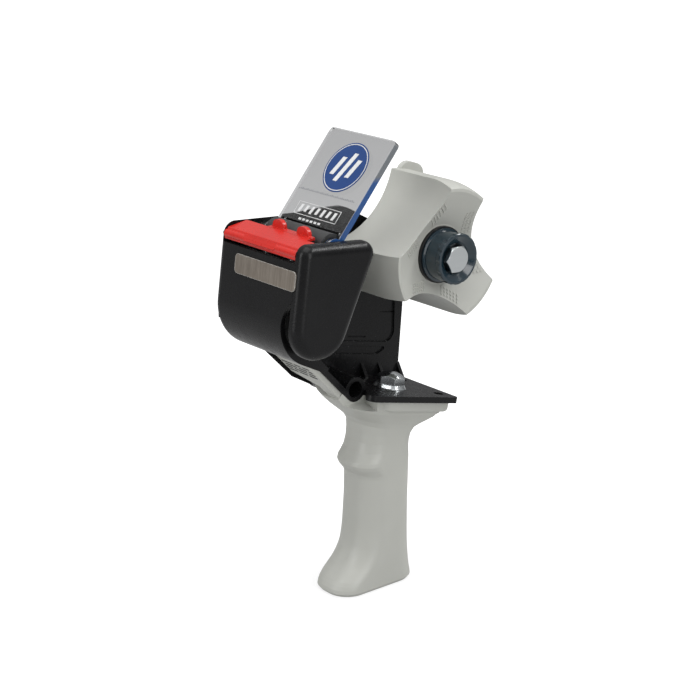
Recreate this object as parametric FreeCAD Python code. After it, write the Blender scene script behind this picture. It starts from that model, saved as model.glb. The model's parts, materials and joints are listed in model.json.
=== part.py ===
"""Hand-held packing-tape gun: a pistol grip, a side frame, a roller head and a braked tape hub.

Millimetres. The origin is the middle of the foot on which the grip stands, +Z is up,
the head looks along -Y, and the tape hub's axis lies along X with its knob at +X.
"""
import FreeCAD, Part
import math
import os

V = FreeCAD.Vector

# ---- hub ----
HUB_Y = 29.0
HUB_Z = 180.0
HUB_BACK = -15.9
HUB_TAPER = 15.0
HUB_FRONT = 30.5
SEAT_R = 37.8                   # holds a 76 mm core
TIP_R = 34.9
STOP_R = 42.0
STOP_THICK = 3.0
STOP_WIDTH = 17.0
LOBE_ANGLES = (70.8, -49.2, 190.8)
LOBE_HALF = 18.5                # degrees from a lobe's middle to its corner
FLANK_R = 20.5                  # nearest point of the hollow flank to the axis
HUB_WALL = 2.6
DISH_R = 15.5
HUB_BOSS_R = 11.5
POCKET_R = 9.2
POCKET_FLOOR = 10.4

# ---- axle and brake ----
AXLE_R = 4.0
RUN_FIT = 0.06
KNOB_BASE = 22.4
KNOB_FLANGE_R = 14.7
KNOB_BEAD_R = 13.9
KNOB_R = 12.8
KNOB_RIM_R = 13.15
KNOB_FRONT = 36.3
KNOB_DISH_R = 11.6
KNOB_RECESS_R = 7.9
KNOB_FLOOR = 30.2
KNOB_FLUTES = 14
BOLT_AF = 13.0
BOLT_HEAD = 5.4

# ---- side frame ----
WALL_IN = -20.6
WALL_OUT = -23.6
PITCH = 12.0                    # degrees that the base plate drops towards the rear
BASE_REAR_Y = 42.5
BASE_REAR_Z = 100.9             # top face of the base plate at its rear edge
BASE_THICK = 3.2
BASE_NEAR = 22.2                # the plate's near edge at its front
BASE_NEAR_REAR = 25.4
BASE_FRONT_Y = -15.5
TUBE_Y = -13.4
TUBE_Z = 112.4
TUBE_R = 6.5
TUBE_BORE_R = 4.4
TUBE_END = 7.4
STRUT_THICK = 3.0
STRUT_HEAD_THICK = 4.2
STRUT_FRONT = (-45.3, 136.3)
BOSS_R = 14.0
BOSS_END = -17.4
FIX_HOLES = ((17.0, 35.5), (-12.0, 35.5))
FIX_HOLE_R = 2.7

# ---- head ----
FACE_TOP = (-74.1, 204.9)
FACE_LOW = (-81.1, 149.85)
DRUM_R = 23.5
DRUM_END = (-52.3, 135.3)
HEAD_EDGE = 5.5
CHEEK_OUT = 43.2
CHEEK_IN = 36.4
CHEEK_EDGE = 5.0
COVER_WALL = 2.6
COVER_TOP = 194.8
NOTCH_X = 30.2
NOTCH_TOP = 181.0
NOTCH_R = 18.0
ROLLER_Y = -50.1
ROLLER_Z = 197.7
ROLLER_R = 7.0
ROLLER_CORE_R = 4.6
ROLLER_X = (-11.0, 31.8)
SHAFT_R = 2.5
SHAFT_FAR = -25.4
CLIP_R = 3.8
SHAFT_NEAR = 40.2
FEED_Y = -56.0
FEED_Z = 163.0
FEED_R = 18.6
FEED_CORE_R = 14.6
FEED_X = (-14.2, 27.0)
POST_END = -15.0

# ---- blade and its guard ----
GUARD_X = (-19.6, 36.0)
PIN_Y = -72.9
PIN_Z = 198.6
PIN_R = 1.0
PIN_FAR = -21.8
BARREL_R = 2.1
GUARD_TOP = 203.4
GUARD_THICK = 2.0
GUARD_FRONT = -75.4
SPRING_BORE_R = 1.75
SPRING_BORE_DEPTH = 3.5
BLADE_X = (-15.9, 35.0)
BLADE_THICK = 0.8
TOOTH_PITCH = 2.5
TOOTH_HIGH = 1.8

# ---- clear flap ----
FLAP_LEAN = 50.4
FLAP_X = (-14.1, 34.9)
FLAP_NEAR = 8.2
FLAP_FAR = 60.4
FLAP_THICK = 3.0
FLAP_FACE = 0.6                 # the front face stands this far in front of the shaft's axis
LUG_THICK = 2.5
LUG_R = 5.0
BADGE_R = 13.9
BADGE_REACH = 41.1              # from the roller's shaft along the flap
BADGE_X = 11.9
FLAP_SPRING_END = 37.7
FLAP_SPRING_BORE_R = 3.4

# ---- grip ----
GRIP_HALF = 14.75
GRIP_WALL = 3.2
CAP_THICK = 4.0
BOLT_X = 2.0
BOLT_Y = 14.4
BOLT_DEPTH = 13.0               # from the base plate's top to the bolt head's upper face
NUT_BORE = 6.6                  # depth of the cap nut's thread from the base plate
NUT_HIGH = 8.2
TONGUE_THICK = 3.0
LIP_EDGE = 2.2
LIP_THICK = 6.0                 # the grip's flange under the base plate
LIP_X = (-20.0, 21.5)
LIP_Y = (-9.0, 41.8)
NECK_REACH = 6.0                # how far the grip's body runs forward along the strut


# ---- helpers ----
def rounded_wire(corners, place):
    """A closed wire through (u, v, radius) corners, with an arc at each corner that has a radius."""
    spans = []
    count = len(corners)
    for i, (u, v, radius) in enumerate(corners):
        here = V(u, v, 0)
        before = V(*corners[i - 1][:2], 0) - here
        after = V(*corners[(i + 1) % count][:2], 0) - here
        before.normalize()
        after.normalize()
        if radius == 0:
            spans.append((here, None, here))
            continue
        half = before.getAngle(after) / 2
        reach = radius / math.tan(half)
        middle = before + after
        middle.normalize()
        depth = radius / math.sin(half) - radius
        spans.append((here + before * reach, here + middle * depth, here + after * reach))
    edges = []
    for i, (start, middle, end) in enumerate(spans):
        if middle is not None:
            edges.append(Part.Arc(place(start), place(middle), place(end)).toShape())
        following = spans[(i + 1) % count][0]
        if end.distanceToPoint(following) > 1e-6:
            edges.append(Part.LineSegment(place(end), place(following)).toShape())
    return Part.Wire(edges)


def plate_x(corners, low, high):
    """A plate with a (y, z, radius) outline between two X planes."""
    wire = rounded_wire(corners, lambda p: V(low, p.x, p.y))
    return Part.Face(wire).extrude(V(high - low, 0, 0))


def plate_y(corners, low, high):
    """A plate with an (x, z, radius) outline between two Y planes."""
    wire = rounded_wire(corners, lambda p: V(p.x, low, p.y))
    return Part.Face(wire).extrude(V(0, high - low, 0))


def plate_z(corners, low, high):
    """A plate with an (x, y, radius) outline between two Z planes."""
    wire = rounded_wire(corners, lambda p: V(p.x, p.y, low))
    return Part.Face(wire).extrude(V(0, 0, high - low))


def rectangle(u0, u1, v0, v1, radius):
    """The four corners of a rectangle with one corner radius."""
    return [(u0, v0, radius), (u1, v0, radius), (u1, v1, radius), (u0, v1, radius)]


def rod_x(radius, low, high, y, z):
    """A cylinder along X."""
    return Part.makeCylinder(radius, high - low, V(low, y, z), V(1, 0, 0))


def ring_x(outer, inner, low, high, y, z):
    """A tube along X."""
    return rod_x(outer, low, high, y, z).cut(rod_x(inner, low - 1, high + 1, y, z))


def block(x0, x1, y0, y1, z0, z1):
    """A box between two corners."""
    return Part.makeBox(x1 - x0, y1 - y0, z1 - z0, V(x0, y0, z0))


def turned_x(profile, y, z):
    """A solid turned about an X axis from (x, radius) corners."""
    points = [V(x, y, z + radius) for x, radius in profile]
    wire = Part.makePolygon(points + [points[0]])
    return Part.Face(wire).revolve(V(0, y, z), V(1, 0, 0), 360)


def hex_x(across, low, high, y, z):
    """A hexagonal prism along X."""
    radius = across / math.sqrt(3)
    points = [V(low, y + radius * math.cos(math.radians(60 * i)), z + radius * math.sin(math.radians(60 * i)))
              for i in range(7)]
    return Part.Face(Part.makePolygon(points)).extrude(V(high - low, 0, 0))


def lean(shape, angle, y, z):
    """The shape turned about an X axis."""
    turned = shape.copy()
    turned.rotate(V(0, y, z), V(1, 0, 0), angle)
    return turned


def soften(shape, radius, wanted):
    """Fillet the edges that the test picks."""
    edges = [edge for edge in shape.Edges if wanted(edge)]
    return shape.makeFillet(radius, edges)


def at_x(edge, x):
    """Whether an edge lies in one X plane."""
    box = edge.BoundBox
    return abs(box.XMin - x) < 0.01 and abs(box.XMax - x) < 0.01


def coil_x(radius, wire_r, pitch, low, high, y, z):
    """A helical spring along X."""
    helix = Part.makeHelix(pitch, high - low - 2 * wire_r, radius)
    section = Part.Wire(Part.makeCircle(wire_r, V(radius, 0, 0), V(0, 1, 0)))
    coil = Part.Wire(helix.Edges).makePipeShell([section], True, True)
    coil.rotate(V(0, 0, 0), V(0, 1, 0), 90)
    coil.translate(V(low + wire_r, y, z))
    return coil


def merged(shapes):
    """One solid from shapes that meet."""
    whole = shapes[0].multiFuse(shapes[1:]).removeSplitter()
    return whole


def base_top(y):
    """Height of the base plate's top face."""
    return BASE_REAR_Z + (BASE_REAR_Y - y) * math.tan(math.radians(PITCH))


def save(name, shape):
    """Write one node and print what it measures."""
    box = shape.BoundBox
    print("%-18s %d solid(s) %9.0f mm3 valid %s  x %.1f..%.1f y %.1f..%.1f z %.1f..%.1f" % (
        name, len(shape.Solids), shape.Volume, shape.isValid(),
        box.XMin, box.XMax, box.YMin, box.YMax, box.ZMin, box.ZMax))
    shape.exportStep("parts/" + name + ".step")


# ---- grip ----
# height at the rear, front, rear, half width, front corner radius, rear corner radius
GRIP_STATIONS = (
    (0.0, -25.3, 25.2, 13.6, 11.5, 11.5),
    (1.6, -26.5, 26.2, 14.75, 12.0, 12.0),
    (7.0, -24.0, 25.2, 14.75, 12.0, 12.0),
    (15.0, -16.0, 24.2, 14.75, 12.0, 12.0),
    (24.0, -11.2, 23.6, 14.75, 12.0, 12.0),
    (45.0, -9.0, 23.4, 14.75, 12.0, 12.0),
    (62.0, -8.4, 23.4, 14.75, 11.5, 11.5),
    (69.8, -13.0, 23.4, 14.95, 11.5, 11.5),
    (77.5, -7.5, 23.6, 14.75, 11.5, 11.5),
    (81.0, -7.0, 26.0, 14.8, 11.3, 10.8),
    (84.0, -9.6, 31.0, 15.3, 11.9, 9.0),
    (87.0, -14.6, 35.6, 16.4, 13.6, 7.0),
    (91.0, -21.0, 39.0, 18.4, 16.8, 5.0),
    (95.5, -26.2, 39.0, 18.4, 16.8, 5.0),
    (116.0, -44.0, 39.0, 18.4, 16.8, 5.0),
)
TILT_START = 75.0               # height at which the grip's sections begin to tilt to the plate's pitch
TILT_END = 82.0
CAVITY_TOP = 81.5
SECTION_STEP = 2.0


def station_slopes(column):
    """Slope of one station value against height, level at each turning point."""
    heights = [row[0] for row in GRIP_STATIONS]
    values = [row[column] for row in GRIP_STATIONS]
    slopes = [0.0]
    for i in range(1, len(values) - 1):
        rising = (values[i + 1] - values[i]) * (values[i] - values[i - 1])
        slope = (values[i + 1] - values[i - 1]) / (heights[i + 1] - heights[i - 1])
        slopes.append(slope if rising > 0 else 0.0)
    slopes.append((values[-1] - values[-2]) / (heights[-1] - heights[-2]))
    return slopes


GRIP_SLOPES = [station_slopes(column) for column in range(1, 6)]


def grip_section(height):
    """Front, rear, half width and corner radii of the grip at a height, by smooth interpolation."""
    i = max(k for k in range(len(GRIP_STATIONS) - 1) if GRIP_STATIONS[k][0] <= height)
    low, high = GRIP_STATIONS[i], GRIP_STATIONS[i + 1]
    span = high[0] - low[0]
    t = (height - low[0]) / span
    values = []
    for column in range(1, 6):
        slopes = GRIP_SLOPES[column - 1]
        values.append((1 + 2 * t) * (1 - t) ** 2 * low[column] + t * (1 - t) ** 2 * span * slopes[i]
                      + t * t * (3 - 2 * t) * high[column] - t * t * (1 - t) * span * slopes[i + 1])
    return values


def grip_point(point, height):
    """A section's corner in space: level low on the grip, tilted to the plate's pitch at the top."""
    tilt = min(max((height - TILT_START) / (TILT_END - TILT_START), 0.0), 1.0)
    return V(point.x, point.y, height + tilt * math.tan(math.radians(PITCH)) * (BASE_REAR_Y - point.y))


def grip_loft(inset, top):
    """A stack of rounded sections of the grip, drawn in by a wall."""
    heights = [row[0] for row in GRIP_STATIONS[:2]]
    while heights[-1] + SECTION_STEP < top:
        heights.append(heights[-1] + SECTION_STEP)
    heights.append(top)
    wires = []
    for height in heights:
        front, rear, half, front_radius, rear_radius = grip_section(height)
        side = half - inset
        ahead = max(front_radius - inset, 1.0)
        behind = max(rear_radius - inset, 1.0)
        corners = [(-side, front + inset, ahead), (side, front + inset, ahead), (side, rear - inset, behind),
                   (-side, rear - inset, behind)]
        wires.append(rounded_wire(corners, lambda p, z=height: grip_point(p, z)))
    return Part.makeLoft(wires, True, True)


def strut_point(reach, lift=0):
    """A point along the strut's underside from the tube forward, lifted off it."""
    start = V(TUBE_Y - 4.4, TUBE_Z - 4.8, 0)
    way = V(STRUT_FRONT[0] - start.x, STRUT_FRONT[1] - start.y, 0)
    way.normalize()
    point = start + way * reach + V(way.y, -way.x, 0) * lift
    return (point.x, point.y, 0)


def strut_slab(low, high, x0, x1, start, end):
    """A slab along the strut between two heights off its underside."""
    corners = [strut_point(start, low), strut_point(end, low), strut_point(end, high), strut_point(start, high)]
    return plate_x(corners, x0, x1)


def base_under(y):
    """Height of the base plate's underside."""
    return base_top(y) - BASE_THICK / math.cos(math.radians(PITCH))


def under_frame():
    """The space above the grip: over the base plate's and the strut's undersides."""
    rear = BASE_REAR_Y + 20
    middle = TUBE_Y + 2
    above = plate_x([(rear, base_under(rear), 0), (middle, base_under(middle), 0), (middle, 180, 0),
                     (rear, 180, 0)], -40, 40)
    far = strut_point(60)
    ahead = plate_x([(middle, TUBE_Z, 0), strut_point(0), far, (far[0], 200, 0), (middle, 200, 0)], -40, 40)
    return above.fuse([ahead])


def grip_lip():
    """The grip's flange: a rounded slab on the base plate's underside."""
    top = BASE_REAR_Z - BASE_THICK
    corners = [(LIP_X[0], LIP_Y[0], 18), (LIP_X[1], LIP_Y[0], 14), (LIP_X[1], LIP_Y[1], 4),
               (LIP_X[0], LIP_Y[1], 4)]
    slab = plate_z(corners, top - LIP_THICK, top)
    return pitched(soften(slab, LIP_EDGE, lambda edge: edge.BoundBox.ZMax < top - LIP_THICK + 0.01))


def tongue():
    """The plate that runs forward under the strut: a narrow neck and a wide head with a slanting end."""
    corners = [(-2.3, -2.0), (6.6, -2.0), (6.6, 36.5), (-19.5, 36.5), (-19.5, 20.0), (-2.3, 13.0)]
    points = [V(x, *strut_point(reach, -TONGUE_THICK)[:2]) for x, reach in corners]
    top = V(0, *strut_point(0, 0)[:2]) - V(0, *strut_point(0, -TONGUE_THICK)[:2])
    return Part.Face(Part.makePolygon(points + [points[0]])).extrude(top)


def tube_clearance():
    """The space in front of the cross tube's open end, which the grip slopes down to leave free."""
    low = TUBE_Z - TUBE_R - 0.4
    return plate_y([(TUBE_END, low, 0), (TUBE_END + 25, low - 7, 0), (TUBE_END + 25, low + 25, 0),
                    (TUBE_END, low + 25, 0)], -70, TUBE_Y + 5.4)


def handle():
    """The hollow grip with its flange and the tongue that runs forward under the strut."""
    ahead = strut_slab(-60, 60, -40, 40, NECK_REACH, 80)
    body = merged([grip_loft(0, 116), grip_lip()]).cut(under_frame()).cut(ahead)
    body = merged([body, tongue()]).cut(tube_clearance())
    body = body.cut(rod_x(TUBE_R, -40, 40, TUBE_Y, TUBE_Z))
    body = body.cut(grip_loft(GRIP_WALL, CAVITY_TOP))
    body = body.cut(bolt_rod(AXLE_R, -40, 12)).cut(bolt_hex(-40, -BOLT_DEPTH))
    for x, y in FIX_HOLES:
        body = body.cut(Part.makeCylinder(FIX_HOLE_R, 20, V(x, y, base_under(y) - 14)))
    return body


def foot_cap():
    """The plug that closes the grip's foot."""
    front, rear, half, radius = GRIP_STATIONS[0][1:5]
    inset = GRIP_WALL + 0.15
    corners = rectangle(-half + inset, half - inset, front + inset, rear - inset, radius - inset)
    return plate_z(corners, 0, CAP_THICK)


def pitched(shape):
    """The shape turned from level to the base plate's pitch, about the plate's rear top edge."""
    return lean(shape, -PITCH, BASE_REAR_Y, BASE_REAR_Z)


def on_base(shape):
    """The shape turned from upright to stand square on the base plate, about the grip bolt's place."""
    return lean(shape, -PITCH, BOLT_Y, base_top(BOLT_Y))


def bolt_rod(radius, low, high):
    """A cylinder on the grip bolt's axis, between two heights off the base plate."""
    return on_base(Part.makeCylinder(radius, high - low, V(BOLT_X, BOLT_Y, base_top(BOLT_Y) + low)))


def bolt_hex(low, high, turn=0):
    """A hexagonal prism on the grip bolt's axis, between two heights off the base plate."""
    radius = BOLT_AF / math.sqrt(3)
    angles = [math.radians(turn + 60 * i) for i in range(7)]
    points = [V(BOLT_X + radius * math.cos(angle), BOLT_Y + radius * math.sin(angle), base_top(BOLT_Y) + low)
              for angle in angles]
    return on_base(Part.Face(Part.makePolygon(points)).extrude(V(0, 0, high - low)))


def grip_bolt():
    """The hex bolt, trapped in the grip, that clamps the grip's flange to the base plate."""
    shank = bolt_rod(AXLE_R - 0.05, -BOLT_DEPTH, NUT_BORE)
    return merged([shank, bolt_hex(-BOLT_DEPTH - BOLT_HEAD, -BOLT_DEPTH)])


def flange_nut():
    """The zinc flanged cap nut on the grip bolt."""
    foot = V(BOLT_X, BOLT_Y, base_top(BOLT_Y))
    flange = on_base(Part.makeCone(8.8, 7.6, 1.8, foot))
    dome = on_base(Part.makeSphere(11.0, foot + V(0, 0, NUT_HIGH - 11.0)))
    body = merged([flange, bolt_hex(1.8, NUT_HIGH, 35).common(dome)])
    return body.cut(bolt_rod(AXLE_R - 0.05, -1, NUT_BORE))


# ---- side frame ----
def frame_outline():
    """The side wall's outline, from the head's top corner round the drum to the axle and back."""
    return [(*FACE_TOP, 7), (*FACE_LOW, DRUM_R), (*DRUM_END, 2), (-34.8, 117.6, 6), (-12.1, 104.7, 6),
            (6.0, base_under(6.0), 4), (BASE_REAR_Y, base_under(BASE_REAR_Y), 0), (BASE_REAR_Y, BASE_REAR_Z, 0),
            (40.2, 107.2, 3), (42.8, 141.8, 30), (43.0, 189.0, 9), (22.0, 190.0, 12), (3.0, 200.0, 15),
            (-27.0, 201.8, 30)]


def head_form():
    """A thick block with the head's outline and a rounded outer edge, to trim the wall and the cover."""
    corners = [(*FACE_TOP, 7), (*FACE_LOW, DRUM_R), (*DRUM_END, 2), (0.0, 82.4, 0), (80.0, 82.4, 0),
               (80.0, 215.0, 0), (-27.0, 201.8, 30)]
    return soften(plate_x(corners, WALL_OUT, 60), HEAD_EDGE, lambda edge: at_x(edge, WALL_OUT)
                  and edge.BoundBox.YMin < -20 and edge.BoundBox.ZMax < 206)


def frame():
    """The moulded side wall with its base plate, strut, cross tube and axle boss."""
    wall = plate_x(frame_outline(), WALL_OUT, WALL_IN).common(head_form())
    base = plate_z(base_outline(), BASE_REAR_Z - BASE_THICK, BASE_REAR_Z)
    strut = strut_slab(0, STRUT_THICK, WALL_IN, TUBE_END, 0, 24.0)
    strut = strut.fuse(strut_slab(0, STRUT_HEAD_THICK, WALL_IN, TUBE_END, 23.0, 38.0))
    tube = rod_x(TUBE_R, WALL_OUT, TUBE_END, TUBE_Y, TUBE_Z)
    boss = rod_x(BOSS_R, WALL_OUT, BOSS_END, HUB_Y, HUB_Z)
    ribs = [gusset(y) for y in (14.3, 26.5, 40.0)]
    body = merged([wall, pitched(base), strut, tube, boss] + ribs)
    for panel in panels():
        body = body.cut(plate_x(panel, WALL_IN - 1.1, WALL_IN + 1))
    for line in panel_lines():
        body = body.cut(plate_x(line, WALL_IN - 1.8, WALL_IN))
    cuts = [rod_x(TUBE_BORE_R, WALL_OUT - 1, TUBE_END + 1, TUBE_Y, TUBE_Z),
            rod_x(AXLE_R, WALL_OUT - 1, BOSS_END + 1, HUB_Y, HUB_Z),
            rod_x(SHAFT_R, WALL_OUT - 1, 0, ROLLER_Y, ROLLER_Z),
            rod_x(SHAFT_R, WALL_OUT - 1, 0, FEED_Y, FEED_Z),
            rod_x(PIN_R, PIN_FAR, 0, PIN_Y, PIN_Z),
            bolt_rod(AXLE_R, -12, 12)]
    cuts += [Part.makeCylinder(FIX_HOLE_R, 20, V(x, y, base_top(y) - 10)) for x, y in FIX_HOLES]
    cuts += [rod_x(SCREW_R + 0.1, WALL_OUT - 1, 0, y, z) for y, z in SCREWS]
    cuts += [rod_x(SCREW_HEAD_R + 0.3, WALL_OUT - 1, WALL_OUT + SCREW_SINK, y, z) for y, z in SCREWS]
    return body.cut(cuts[0].fuse(cuts[1:]))


def base_outline():
    """The base plate's outline, before it is pitched: it starts behind the cross tube and widens past its end."""
    behind_tube = TUBE_Y + 4
    return [(WALL_OUT, behind_tube, 0), (TUBE_END - 1, behind_tube, 0), (TUBE_END, TUBE_Y + TUBE_R - 0.3, 0),
            (17.2, BASE_FRONT_Y, 3), (BASE_NEAR, BASE_FRONT_Y + 0.7, 3.5), (BASE_NEAR_REAR, BASE_REAR_Y, 2),
            (WALL_OUT, BASE_REAR_Y, 0)]


def gusset(y):
    """A triangular rib between the side wall and the base plate."""
    low = base_top(y) - 1.0
    corners = [(WALL_IN, low, 0), (WALL_IN + 5.5, low, 0), (WALL_IN, low + 9.0, 0)]
    return plate_y(corners, y - 0.9, y + 0.9)


def panels():
    """Shallow recesses in the side wall's inner face, as (y, z, radius) outlines."""
    upper = [(-36.0, 136.6, 4), (37.0, 121.2, 5.5), (37.4, 160.0, 4), (-36.0, 194.0, 6)]
    lower = [(-24.0, 127.0, 1), (25.0, 116.7, 5), (33.0, 119.4, 1), (-24.0, 131.3, 1)]
    return [upper, lower]


def panel_lines():
    """Fine grooves in the upper recess's floor."""
    right = [(27.8, 139.4, 0), (37.3, 137.6, 0), (37.3, 138.4, 0), (27.8, 140.2, 0)]
    left = [(5.2, 129.9, 0), (17.9, 127.3, 0), (17.9, 128.0, 0), (5.2, 130.6, 0)]
    return [right, left]


# ---- head ----
SCREWS = ((-68.5, 185.5), (-71.8, 158.0), (-59.5, 146.0))
SCREW_R = 1.5
SCREW_HEAD_R = 2.8
SCREW_SINK = 1.6                # depth of the screws' counterbores in the side wall


def face_band(thick):
    """The front wall's profile from its top edge round the drum, drawn in by a wall."""
    corners = [(FACE_TOP[0], FACE_TOP[1], 0), (*FACE_LOW, DRUM_R), (*DRUM_END, 0)]
    outer = plate_x(corners + [(-40, 160, 0), (-40, FACE_TOP[1], 0)], WALL_IN + 0.1, CHEEK_IN + 0.5)
    shift = 0.108 * thick
    inner_corners = [(FACE_TOP[0] + thick, FACE_TOP[1] + 5, 0),
                     (FACE_LOW[0] + thick * 1.25 + shift, FACE_LOW[1] + thick, DRUM_R - thick),
                     (DRUM_END[0] + 1.2, DRUM_END[1] + thick * 0.9, 0), (DRUM_END[0] + 15, DRUM_END[1] - 4, 0),
                     (-30, 160, 0), (-30, FACE_TOP[1] + 5, 0)]
    inner = plate_x(inner_corners, WALL_IN - 1, CHEEK_IN + 1)
    return outer.cut(inner).cut(block(-60, 60, -100, 0, COVER_TOP, 260))


def cheek_outline():
    """The near cheek's outline: straight front and rear edges and a round lower end."""
    return [(-74.1, 203.9, 5.5), (-81.3, 146.6, 15.5), (-52.2, 146.6, 15.5), (-27.2, 199.8, 6.5)]


def head_cover():
    """The front cover: a wall that curls under the feed roller, and the near cheek."""
    cheek = plate_x(cheek_outline(), CHEEK_IN, CHEEK_OUT)
    cheek = soften(cheek, CHEEK_EDGE, lambda edge: at_x(edge, CHEEK_OUT))
    notch = plate_y([(NOTCH_X, 120, 0), (NOTCH_X + NOTCH_R + 1, 120, 0),
                     (NOTCH_X + NOTCH_R + 1, NOTCH_TOP, 0),
                     (NOTCH_X, NOTCH_TOP, NOTCH_R)], -100, 0)
    band = face_band(COVER_WALL).cut(notch).common(head_form())
    posts = [rod_x(3.4, WALL_IN + 0.1, POST_END, y, z) for y, z in SCREWS]
    webs = [block(WALL_IN + 0.1, POST_END, y - 6.5, y, z - 1.2, z + 1.2) for y, z in SCREWS[:2]]
    webs.append(block(WALL_IN + 0.1, POST_END, SCREWS[2][0] - 1.2, SCREWS[2][0] + 1.2, 139.8, 144))
    body = merged([band, cheek] + posts + webs)
    cuts = [rod_x(SHAFT_R, 0, SHAFT_NEAR, ROLLER_Y, ROLLER_Z), rod_x(SHAFT_R, 0, SHAFT_NEAR, FEED_Y, FEED_Z),
            rod_x(FLAP_SPRING_BORE_R, CHEEK_IN - 1, FLAP_SPRING_END, ROLLER_Y, ROLLER_Z),
            rod_x(PIN_R, CHEEK_IN - 1, CHEEK_IN + 2.0, PIN_Y, PIN_Z), plate_recess()]
    cuts += [rod_x(SCREW_R - 0.2, WALL_IN, POST_END - 0.8, y, z) for y, z in SCREWS]
    return body.cut(cuts[0].fuse(cuts[1:]))


FACE_TILT = 7.24                # degrees that the front wall leans out towards its foot
PLATE_X = (-8.2, 38.5)
PLATE_Z = (181.8, 191.4)


def on_face(shape):
    """The shape turned from the plane Y = 0 on to the sloping front wall, about the wall's top corner."""
    moved = shape.copy()
    moved.translate(V(0, FACE_TOP[0], 0))
    return lean(moved, -FACE_TILT, *FACE_TOP)


def plate_recess():
    """The pocket that seats the name plate."""
    corners = rectangle(PLATE_X[0] - 0.15, PLATE_X[1] + 0.15, PLATE_Z[0] - 0.15, PLATE_Z[1] + 0.15, 2.3)
    return on_face(plate_y(corners, -1.0, 0.5))


def name_plate():
    """The blank metal plate on the front wall."""
    return on_face(plate_y(rectangle(*PLATE_X, *PLATE_Z, 2.1), -0.5, 0.5))


def cover_screws():
    """Three sunk pan-head screws through the side wall into the cover's posts."""
    screws = []
    for y, z in SCREWS:
        head = rod_x(SCREW_HEAD_R, WALL_OUT + 0.1, WALL_OUT + SCREW_SINK, y, z)
        head = head.cut(block(WALL_OUT - 1, WALL_OUT + 0.9, y - 2.2, y + 2.2, z - 0.35, z + 0.35))
        screws.append(head.fuse(rod_x(SCREW_R - 0.2, WALL_OUT + 1, POST_END - 0.8, y, z)).removeSplitter())
    return Part.makeCompound(screws)


# ---- rollers ----
def shaft(y, z):
    """A steel shaft from the side wall to a blind hole in the cheek, grooved for its clip."""
    rod = rod_x(SHAFT_R, SHAFT_FAR, SHAFT_NEAR, y, z)
    return rod.cut(ring_x(SHAFT_R + 1, SHAFT_R - 0.6, WALL_OUT - 1.1, WALL_OUT - 0.3, y, z))


def shaft_clips():
    """One open retaining ring on each shaft outside the side wall."""
    clips = []
    for y, z in ((ROLLER_Y, ROLLER_Z), (FEED_Y, FEED_Z)):
        ring = ring_x(CLIP_R, SHAFT_R - 0.6, WALL_OUT - 1.1, WALL_OUT - 0.3, y, z)
        clips.append(ring.cut(block(WALL_OUT - 2, WALL_OUT, y, y + 6, z - 1.5, z + 1.5)))
    return Part.makeCompound(clips)


def roller_core():
    """The upper roller's plastic sleeve."""
    return ring_x(ROLLER_CORE_R, SHAFT_R + RUN_FIT, *ROLLER_X, ROLLER_Y, ROLLER_Z)


def roller_tyre():
    """The rubber on the upper roller."""
    return ring_x(ROLLER_R, ROLLER_CORE_R, *ROLLER_X, ROLLER_Y, ROLLER_Z)


def feed_core():
    """The lower roller's spoked plastic core."""
    rim = ring_x(FEED_CORE_R, FEED_CORE_R - 2.2, *FEED_X, FEED_Y, FEED_Z)
    hub = ring_x(5.0, SHAFT_R + RUN_FIT, WALL_IN + 0.4, CHEEK_IN - 0.4, FEED_Y, FEED_Z)
    spokes = []
    for i in range(6):
        spoke = block(FEED_X[0] + 2, FEED_X[1] - 2, FEED_Y + 4.4, FEED_Y + FEED_CORE_R - 1.5, FEED_Z - 0.9,
                      FEED_Z + 0.9)
        spokes.append(lean(spoke, 60 * i, FEED_Y, FEED_Z))
    return merged([rim, hub] + spokes)


def feed_tyre():
    """The rubber on the lower roller."""
    tyre = ring_x(FEED_R, FEED_CORE_R, *FEED_X, FEED_Y, FEED_Z)
    return soften(tyre, 1.0, lambda edge: abs(edge.BoundBox.ZMax - FEED_Z - FEED_R) < 0.01
                  and edge.BoundBox.XLength < 0.01)


# ---- blade and its guard ----
def blade_profile(lift):
    """Lower and upper ends of the blade's slope, moved off its middle plane."""
    low = V(-63.6, 186.0, 0)
    high = V(-67.6, 199.6, 0)
    way = high - low
    way.normalize()
    off = V(way.y, -way.x, 0) * lift
    return low + off, high + off


def blade():
    """The toothed steel strip."""
    back = blade_profile(-BLADE_THICK / 2)
    front = blade_profile(BLADE_THICK / 2)
    corners = [(p.x, p.y, 0) for p in (back[0], back[1], front[1], front[0])]
    strip = plate_x(corners, *BLADE_X)
    count = int((BLADE_X[1] - BLADE_X[0]) / TOOTH_PITCH)
    gaps = []
    for i in range(count + 1):
        x = BLADE_X[0] + i * TOOTH_PITCH
        gaps.append(plate_y([(x, 200.5 - TOOTH_HIGH, 0), (x + TOOTH_PITCH / 2, 201.0, 0),
                             (x - TOOTH_PITCH / 2, 201.0, 0)], -75, -60))
    strip = strip.cut(gaps[0].fuse(gaps[1:]))
    for x, y, z in blade_screw_places():
        strip = strip.cut(blade_hole(x, y, z, 1.5))
    return strip


def blade_screw_places():
    """Where the two blade screws cross the blade's middle plane."""
    low, high = blade_profile(0)
    place = low + (high - low) * 0.28
    return [(x, place.x, place.y) for x in (0.0, 20.0)]


def blade_hole(x, y, z, radius):
    """A cylinder square to the blade."""
    low, high = blade_profile(0)
    way = high - low
    way.normalize()
    across = V(0, -way.y, way.x)
    return Part.makeCylinder(radius, 14, V(x, y, z) - across * 7, across)


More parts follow.
